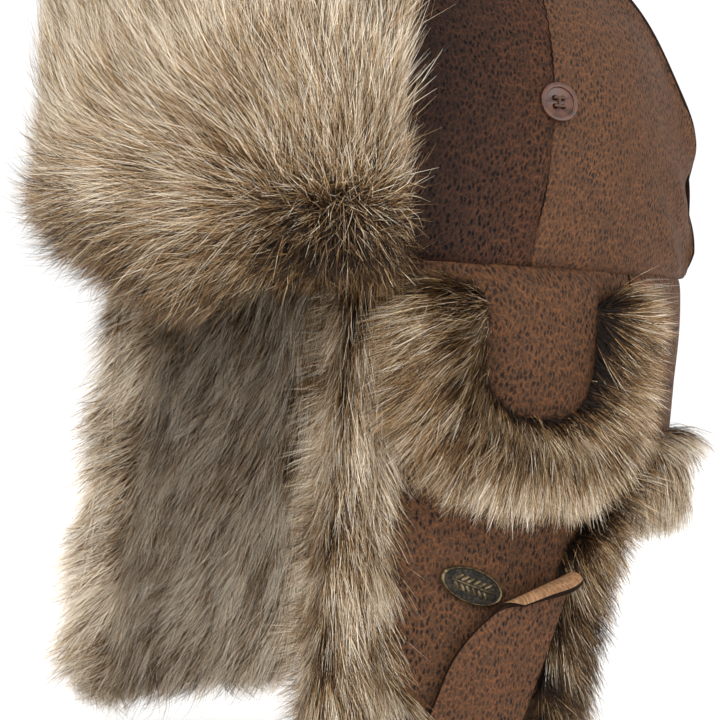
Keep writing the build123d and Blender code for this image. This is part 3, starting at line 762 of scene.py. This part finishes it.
def grow(name, body, nodes, skin, count, comb, keep, length, lift, width=0.2, clump=9, pull=0.30,
         spread=0.20, tone=0.0, curl=0.10, seed=1, shade_at=None, fuzz=1.5, vary=1.0):
    """Fur as tapered ribbons rooted on a pile surface and combed along a direction field."""
    r = np.random.default_rng(seed)
    V, T, N = skin
    A, B, C = V[T[:, 0]], V[T[:, 1]], V[T[:, 2]]
    area = np.linalg.norm(np.cross(B - A, C - A), axis=1)
    mid = (A + B + C) / 3
    mid_n = unit(N[T].mean(1))
    ok = keep(mid, mid_n)
    weight = area * ok
    pick = r.choice(len(T), count, p=weight / weight.sum())
    a, b = r.random(count), r.random(count)
    flip = a + b > 1
    a, b = np.where(flip, 1 - a, a), np.where(flip, 1 - b, b)
    P = A[pick] + (B[pick] - A[pick]) * a[:, None] + (C[pick] - A[pick]) * b[:, None]
    Ns = unit(N[T[pick]].mean(1))
    D = comb(P + r.normal(size=P.shape) * fuzz, Ns)
    D = D - Ns * (D * Ns).sum(-1, keepdims=True)
    D = unit(D + 1e-4 * r.normal(size=D.shape))

    centres = r.choice(count, max(count // clump, 4), replace=False)
    tree = KDTree(len(centres))
    for i, c in enumerate(centres):
        tree.insert(P[c], i)
    tree.balance()
    cid = np.array([tree.find(p)[1] for p in P])

    def per(scale_c, scale_s):
        return r.normal(size=len(centres))[cid] * scale_c + r.normal(size=count) * scale_s

    side = np.cross(Ns, D)
    turn = per(spread * 0.7, spread * 0.6) + 0.5 * wave(P, 46, seed + 5) * spread * 2
    D = D * np.cos(turn)[:, None] + side * np.sin(turn)[:, None]
    side = np.cross(Ns, D)
    L = length(P, Ns) * np.clip(1 + per(0.10, 0.14), 0.5, 1.4)
    rise_at = lift(P) if callable(lift) else lift
    up = np.clip(rise_at * (1 + per(0.18, 0.25)) + 0.4 * np.clip(-Ns[:, 2], 0, 1), 0.08, 0.97)
    bend = per(curl, curl)
    t = np.linspace(0, 1, 5)[None, :, None]
    path = P[:, None] + L[:, None, None] * (
        Ns[:, None] * (up[:, None, None] * (1.7 * t - 0.75 * t ** 2))
        + D[:, None] * (np.sqrt(1 - up ** 2)[:, None, None] * (0.35 * t + 0.75 * t ** 2))
        + side[:, None] * (bend[:, None, None] * t ** 2))
    lead = path[centres][cid]
    offset = path - lead
    near = np.clip(1 - np.linalg.norm(offset[:, 0], axis=-1) / 9.0, 0, 1)
    path = path - offset * (pull * near[:, None, None] * t ** 1.6) * r.uniform(0.5, 1.2, (count, 1, 1))
    root = path[:, :1]
    for axis in range(3):
        low, high = HAIR_BOX[0][axis], HAIR_BOX[1][axis]
        start = root[:, 0, axis]
        above = np.maximum((path[:, :, axis] - root[:, :, axis]).max(1), 1e-6)
        below = np.maximum((root[:, :, axis] - path[:, :, axis]).max(1), 1e-6)
        share = np.minimum((high - start) / above, (start - low) / below)
        path = root + (path - root) * np.clip(share, 0.1, 1.0)[:, None, None]
    tang = unit(np.gradient(path, axis=1))
    W = unit(np.cross(tang, Ns[:, None] + 0.55 * r.normal(size=(count, 1, 3))))
    face_n = unit(np.cross(W, tang))
    face_n *= np.where((face_n * Ns[:, None]).sum(-1, keepdims=True) < 0, -1, 1)
    vn = unit(face_n * 0.6 + Ns[:, None] * 0.55 + 0.12 * r.normal(size=(count, 1, 3)))
    taper = np.array([0.9, 1.0, 0.85, 0.6, 0.14])[None, :, None]
    wide = width * np.clip(1 + per(0.12, 0.22), 0.5, 1.8)[:, None, None] * taper / 2
    verts = np.stack([path - W * wide, path + W * wide], 2)
    ids = np.arange(count * 10).reshape(count, 5, 2)
    quads = np.stack([ids[:, :-1, 0], ids[:, :-1, 1], ids[:, 1:, 1], ids[:, 1:, 0]], -1)

    base = np.array([-0.02, 0.21, 0.54, 0.86])[None, :]
    streak = 0.19 * r.normal(size=len(centres))[cid] + 0.17 * r.normal(size=count)
    patch = 0.17 * wave(P, 36, seed + 9) + 0.14 * wave(P, 13, seed + 12)
    # streak and patch are the fur's own tone; tone and shade_at add the painted light and shade given for
    # each piece
    shade = base + ((streak + patch) * vary + tone)[:, None]
    if shade_at:
        shade = shade + shade_at(P)[:, None]
    kind = r.random(count)
    shade = np.where((kind < 0.07)[:, None], shade * 0.5, shade)
    shade = np.where((kind > 0.90)[:, None], shade + 0.16, shade)
    index = np.clip(np.round(shade * 10), 0, 10).astype(int)

    for k, first in enumerate(range(0, count, PIECE_HAIRS)):
        part = slice(first, min(first + PIECE_HAIRS, count))
        vv = verts[part].reshape(-1, 3)
        qq = quads[part].reshape(-1, 4) - first * 10
        piece = f"{name}_{k + 1}" if count > PIECE_HAIRS else name
        normals = np.repeat(vn[part][:, :, None], 2, 2).reshape(-1, 3)
        ob = fast_mesh(piece, vv, qq, index[part].ravel(), fur_mats, normals=normals)
        attach(ob, body, "faux_fur", *nodes)
    me = bpy.data.meshes.new(name + "_pile")
    me.from_pydata((V * MM).tolist(), [], T.tolist())
    me.materials.append(pile_mat)
    for poly in me.polygons:
        poly.use_smooth = True
    ob = bpy.data.objects.new(name + "_pile", me)
    bpy.context.scene.collection.objects.link(ob)
    attach(ob, body, "faux_fur", *nodes)


def even(hair):
    """The same hair length, in mm, everywhere."""
    return lambda p, n: np.full(len(p), hair)


# visor: the nap parts along a short line low on the left side and fans out from its end
WHORL_PHI, WHORL_Z = math.radians(45), 17.0
REACH = 138.0                                       # mm along the fur for a radian round the visor
FUR_X, FUR_Y = AX + 30, AY + 30                     # half axes of the oval that the fur follows


def visor_angle(p):
    """Angle round the head from the front, to the left."""
    return np.arctan2(p[:, 0] / FUR_X, -p[:, 1] / FUR_Y)


def visor_squeeze(p):
    """Pulls the pile in from the CAD solid's outline, which the hair then fills."""
    ang = visor_angle(p) * 0.90
    r = np.hypot(p[:, 0] / FUR_X, p[:, 1] / FUR_Y)
    z = 62 + (p[:, 2] - 62) * 0.93
    shift = 13 * np.clip((0.25 - ang) / 0.8, 0, 1) - 12 * np.clip((ang - 0.05) / 0.35, 0, 1)
    z = z + np.clip((36 - z) / 40, 0, 1) * shift
    return np.stack([r * FUR_X * np.sin(ang), -r * FUR_Y * np.cos(ang), z], -1)


def visor_comb(p, n):
    """Away from the whorl, more upright above it, and hanging under it."""
    ang = visor_angle(p)
    s = (ang - WHORL_PHI) * REACH + 10 * wave(p, 30, 301) + 7 * wave(p, 9, 303)
    dz = p[:, 2] - WHORL_Z + 8 * wave(p, 26, 302) + 6 * wave(p, 8, 304)
    r = np.hypot(s, dz) + 5.0
    a, b = s / r, dz / r
    hang = np.clip((s + 110) / 60, 0, 1)
    b = b + np.where(dz > 0, 1.15 * np.clip(dz / 34, 0, 1), -0.1 - 1.1 * hang * np.clip((-dz - 4) / 14, 0, 1))
    tang = np.stack([np.cos(ang), np.sin(ang), 0 * ang], -1)
    return tang * a[:, None] + np.array([0, 0, 1.0]) * b[:, None]


def visor_keep(p, n):
    return (n * outward(p)).sum(-1) > -0.25


def visor_length(p, n):
    r = np.hypot((visor_angle(p) - WHORL_PHI) * REACH, p[:, 2] - WHORL_Z)
    return 20 + 11 * np.clip(r / 50, 0, 1)


def visor_lift(p):
    s = (visor_angle(p) - WHORL_PHI) * REACH
    near = np.hypot(s - np.clip(s, -25, 5), (p[:, 2] - WHORL_Z))
    return 0.32 + 0.38 * np.exp(-(near / 13) ** 2)


def visor_shade(p):
    # painted shade: much darker low on the visor, toward its lower edge; a little lighter along the parting
    # and toward the top
    s = (visor_angle(p) - WHORL_PHI) * REACH
    line = np.clip(s, -85, 12)
    far = np.hypot(s - line, (p[:, 2] - WHORL_Z - 1) * 1.1)
    line = 0.03 * np.exp(-(far / 13) ** 2) * (1 + 0.5 * wave(p, 30, 305))
    return line - 0.54 * np.clip((36 - p[:, 2]) / 26, 0, 1) + 0.03 * np.clip((p[:, 2] - 40) / 60, 0, 1)


visor_skin = skin_of("visor_fur", 12.0, 3.5, 14, visor_squeeze)
grow("visor_fur", "visor", ["visor_fur"], visor_skin, 150000, visor_comb, visor_keep, visor_length,
     visor_lift, seed=3, tone=0.0, shade_at=visor_shade, fuzz=6.5)


# ear flaps: lining inside, a rolled edge all round outside
SEAM_PILE = -16.0                                   # no hair stands on the upper face above this


def ear_keep(p, n):
    """No hair under the leather or in the crown's seam."""
    front, rear = flap_edges(p[:, 2])
    facing = (n * outward(p)).sum(-1)
    under = (p[:, 1] > front + 3) & (p[:, 1] < rear - 3) & (p[:, 2] > FLAP_LOW + 4)
    top = (n[:, 2] > 0.35) & (p[:, 2] > SEAM_PILE)
    return ~(under & (facing > 0)) & ~top


def neck_keep(p, n):
    top = (n[:, 2] > 0.35) & (p[:, 2] > SEAM_PILE)
    return ~((p[:, 2] > NECK_LOW + 4) & ((n * outward(p)).sum(-1) > 0.3)) & ~top


def ear_comb(p, n):
    """Down, and outward round the flap's edges."""
    y, z = p[:, 1], p[:, 2]
    facing = np.clip((n * outward(p)).sum(-1) * 1.6, -1, 1)
    within = np.clip((y - 30) * 0.02, -1.7, 0.2)
    front = np.where(facing < 0, -1.2, -0.7 + 1.1 * facing)
    rear = 0.65 + 0.45 * np.clip((z + 110) / 40, 0, 1)
    edge = np.where(y < -20, front, rear)
    mix = np.clip(-facing, 0, 1)
    return np.stack([0 * y, within * mix + edge * (1 - mix), -np.ones(len(y))], -1)


def ear_squeeze(p):
    """Shortens the pile and flares it forward, more on the right side."""
    z = np.where(p[:, 2] < -20, -20 + (p[:, 2] + 20) * 0.89, p[:, 2])
    flare = np.clip(-z / 150, 0, 1) * np.where(p[:, 0] < 0, 12.0, 4.0) + 2.0
    ahead = np.clip((-p[:, 1] - 25) / 45, 0, 1)
    return np.stack([p[:, 0] - 0.25 * flare * ahead * np.sign(-p[:, 0]), p[:, 1] - flare * ahead, z], -1)


def ear_shade(p):
    # painted shade: darker just under the crown's lower edge, and on the near left flap's rear trim
    rear = np.clip((p[:, 1] + 14) / 12, 0, 1) * np.clip(p[:, 0] / 60, 0, 1)
    return -0.10 * np.exp(-((p[:, 2] + 8) / 22) ** 2) - 0.24 * rear


for k, (side, sign) in enumerate(SIDES):
    node = f"ear_flap_fur_{side}"
    # painted light and shade: the same fur is darker on the near left flap and lighter on the far right flap,
    # whose inside lies in shade
    tone, vary = (-0.15, 1.2) if sign > 0 else (0.14, 1.5)
    grow(node, f"ear_flap_{side}", [node], skin_of(node, 5.5, 2.6, 8, ear_squeeze), 84000, ear_comb, ear_keep,
         even(21.0), 0.29, seed=20 + k, tone=tone, shade_at=ear_shade, vary=vary)


VENT_MID, VENT_CORE = -13.5, -24.0


def vent_comb(p, n):
    """Out from the vent's middle, falling below it."""
    dy = p[:, 1] - VENT_MID + 9 * wave(p, 26, 401) + 4 * wave(p, 10, 403)
    dz = p[:, 2] - VENT_CORE + 9 * wave(p, 26, 402) + 4 * wave(p, 10, 404)
    r = np.hypot(dy, dz) + 1e-6
    fall = dz / r - np.where(dy < 0, 0.45, 0.25)
    fall = np.where(p[:, 2] > -26, np.minimum(fall, -0.15), fall)
    return np.stack([0 * dy, dy / r, fall], -1)


def vent_keep(p, n):
    """No hair under the vent's leather."""
    half = 24.5 * np.sqrt(np.clip(1 - np.clip((-p[:, 2] - 26) / 28, 0, 1) ** 2.2, 0, 1))
    centre = (np.abs(p[:, 1] - VENT_MID) < half) & (p[:, 2] > -54)
    return ((n * outward(p)).sum(-1) > -0.3) & ~centre


def vent_shade(p):
    # painted shade in the crease along the vent's leather, fading over 15 mm outward; the fur also darkens
    # toward the front
    out = np.maximum(np.abs(p[:, 1] - VENT_MID) - 26, -p[:, 2] - 58)
    return -0.24 + 0.22 * np.clip(out / 15, 0, 1) - 0.16 * np.clip((-p[:, 1] - 30) / 20, 0, 1)


def vent_squeeze(p):
    dy = p[:, 1] - VENT_MID
    y = VENT_MID + dy * np.where(dy < 0, 1.02, 0.84)
    x = np.sign(p[:, 0]) * (np.abs(p[:, 0]) + side_x(y, 0 * y) - side_x(p[:, 1], 0 * y))
    return np.stack([x, y, np.where(p[:, 2] < -10, -10 + (p[:, 2] + 10) * 0.87, p[:, 2])], -1)


for k, (side, sign) in enumerate(SIDES):
    node = f"vent_fur_{side}"
    grow(node, f"vent_{side}", [node], skin_of(node, 3.2, 2.2, 6, vent_squeeze), 40000, vent_comb, vent_keep,
         even(20.0), 0.33, seed=30 + k, tone=-0.12, shade_at=vent_shade, vary=1.1)


def neck_comb(p, n):
    return np.stack([0.25 * wave(p, 60, 501), 0 * p[:, 0], -np.ones(len(p))], -1)


def neck_squeeze(p):
    return np.stack([p[:, 0], p[:, 1], np.where(p[:, 2] < -20, -20 + (p[:, 2] + 20) * 0.86, p[:, 2])], -1)


neck_skin = skin_of("neck_flap_fur", 5.5, 3.0, 8, neck_squeeze)
grow("neck_flap_fur", "neck_flap", ["neck_flap_fur"], neck_skin, 58000, neck_comb, neck_keep, even(19.0), 0.4,
     seed=40, tone=-0.03)


# ------------------------------------------------------------------ badge

def badge_relief():
    """Oval plate with a beaded rim and a plain leafy sprig in low relief."""
    low, high = box_mm("badge")
    centre = (low + high) / 2
    half_a, half_b, tilt = 13.5, 6.5, math.radians(-18)
    out = unit(np.array([centre[0] / AX ** 2, centre[1] / AY ** 2, 0]))
    level_dir = np.array([-out[1], out[0], 0])
    along = level_dir * math.cos(tilt) + np.array([0, 0, 1.0]) * math.sin(tilt)
    up = np.cross(out, along)
    back = np.array([side_x(centre[1], 0.0, 0.1), centre[1], centre[2]])
    r = np.concatenate([np.linspace(0, 0.97, 64), [1.0, 1.0, 0.98]])[:, None]
    t = np.linspace(0, 2 * math.pi, 241)[None, :]
    rings, spokes = r.size, t.size
    a, b = half_a * r * np.cos(t), half_b * r * np.sin(t)
    rim = 0.55 * np.exp(-((r - 0.93) / 0.045) ** 2)
    beads = 0.25 * np.exp(-((r - 0.93) / 0.04) ** 2) * np.abs(np.sin(t * 26))
    stem = np.exp(-(b / 0.34) ** 2) * (np.abs(a) < 8.6)
    leaf = np.zeros_like(a)
    for k in range(6):
        for s in (-1, 1):
            ca, cb = -6.2 + 2.5 * k, s * 1.75
            da, db = a - ca, b - cb
            la, lb = da * 0.72 + db * s * 0.69, -da * s * 0.69 + db * 0.72
            leaf = np.maximum(leaf, np.clip(1 - (la / 1.8) ** 2 - (lb / 0.62) ** 2, 0, 1) ** 0.5)
    raised = np.maximum(0.42 * stem, 0.5 * leaf) * (r < 0.84)
    height = 1.35 + 0.25 * (1 - r ** 2) + rim + beads + raised
    height[-2] = 0.9
    height[-1] = -0.2
    P = back + a[..., None] * along + b[..., None] * up + height[..., None] * out
    ids = np.arange(rings * spokes).reshape(rings, spokes)
    q = np.stack([ids[:-1, :-1], ids[1:, :-1], ids[1:, 1:], ids[:-1, 1:]], -1).reshape(-1, 4)
    level_q = (raised + rim)[:-1, :-1].reshape(-1)
    kinds = np.where((level_q > 0.16) | (np.arange(len(q)) >= 64 * (spokes - 1)), 0, 1)
    ob = fast_mesh("badge_plate", P.reshape(-1, 3), q, kinds, [brass, brass_dark], P.reshape(-1, 3))
    attach(ob, "ear_flap_left", "badge_metal", "badge")


badge_relief()


# ------------------------------------------------------------------ camera, light, floor

def place_camera(azimuth, elevation, roll, distance, view_width, aim):
    """Camera turned about the view by roll; aim is the picture's centre from the frame's origin, to the
    right and up in the picture. Angles in degrees, lengths in metres."""
    a, e, r = map(math.radians, (azimuth, elevation, roll))
    back = Vector((math.sin(a) * math.cos(e), -math.cos(a) * math.cos(e), math.sin(e)))
    level_right = Vector((math.cos(a), math.sin(a), 0))
    level_up = back.cross(level_right)
    right = level_right * math.cos(r) + level_up * math.sin(r)
    up = level_up * math.cos(r) - level_right * math.sin(r)
    cam = bpy.data.objects.new("camera", bpy.data.cameras.new("camera"))
    bpy.context.scene.collection.objects.link(cam)
    place = Matrix(np.array([right, up, back]).T.tolist()).to_4x4()
    place.translation = right * aim[0] + up * aim[1] + back * distance
    cam.matrix_world = place
    cam.data.sensor_width = 36
    cam.data.lens = 36 * distance / view_width
    cam.data.clip_end = 50
    bpy.context.scene.camera = cam


place_camera(52, 2.0, 4.1, 1.49, 0.28224, (-0.020384, -0.039592))


def area_light(name, where, aim, size, power):
    lamp = bpy.data.lights.new(name, "AREA")
    lamp.shape = "SQUARE"
    lamp.size = size
    lamp.energy = power
    ob = bpy.data.objects.new(name, lamp)
    ob.location = where
    ob.rotation_mode = "QUATERNION"
    ob.rotation_quaternion = (Vector(aim) - Vector(where)).to_track_quat("-Z", "Y")
    bpy.context.scene.collection.objects.link(ob)


area_light("key", (0.9, -1.9, 1.5), (0, 0, 0), 1.3, 30)
area_light("front", (1.5, -1.35, -0.02), (0, 0, -0.08), 1.0, 6)
area_light("fill", (2.4, 0.6, 0.5), (0, 0, -0.05), 1.6, 20)
area_light("back", (-1.4, 1.6, 1.3), (0, 0, 0), 1.2, 20)

world = bpy.data.worlds.new("studio")
bpy.context.scene.world = world
world.use_nodes = True
world.node_tree.nodes["Background"].inputs[0].default_value = (1, 1, 1, 1)
world.node_tree.nodes["Background"].inputs[1].default_value = 1.06

floor_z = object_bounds()[0].z - 0.0005
me = bpy.data.meshes.new("floor")
corners = [(x, y, floor_z) for x, y in ((-20, -20), (20, -20), (20, 20), (-20, 20))]
me.from_pydata(corners, [], [(0, 1, 2, 3)])
floor_mat = Nodes("floor_paper")
floor_mat.put(floor_mat.out.inputs["Base Color"], floor_mat.mix(
    floor_mat.noise(floor_mat.add("TexCoord").outputs["Object"], 2.0), (0.96, 0.96, 0.96, 1), (1, 1, 1, 1)))
floor_mat.out.inputs["Roughness"].default_value = 0.9
me.materials.append(floor_mat.mat)
floor = bpy.data.objects.new("floor", me)
bpy.context.scene.collection.objects.link(floor)

bpy.context.scene.view_settings.view_transform = "Standard"
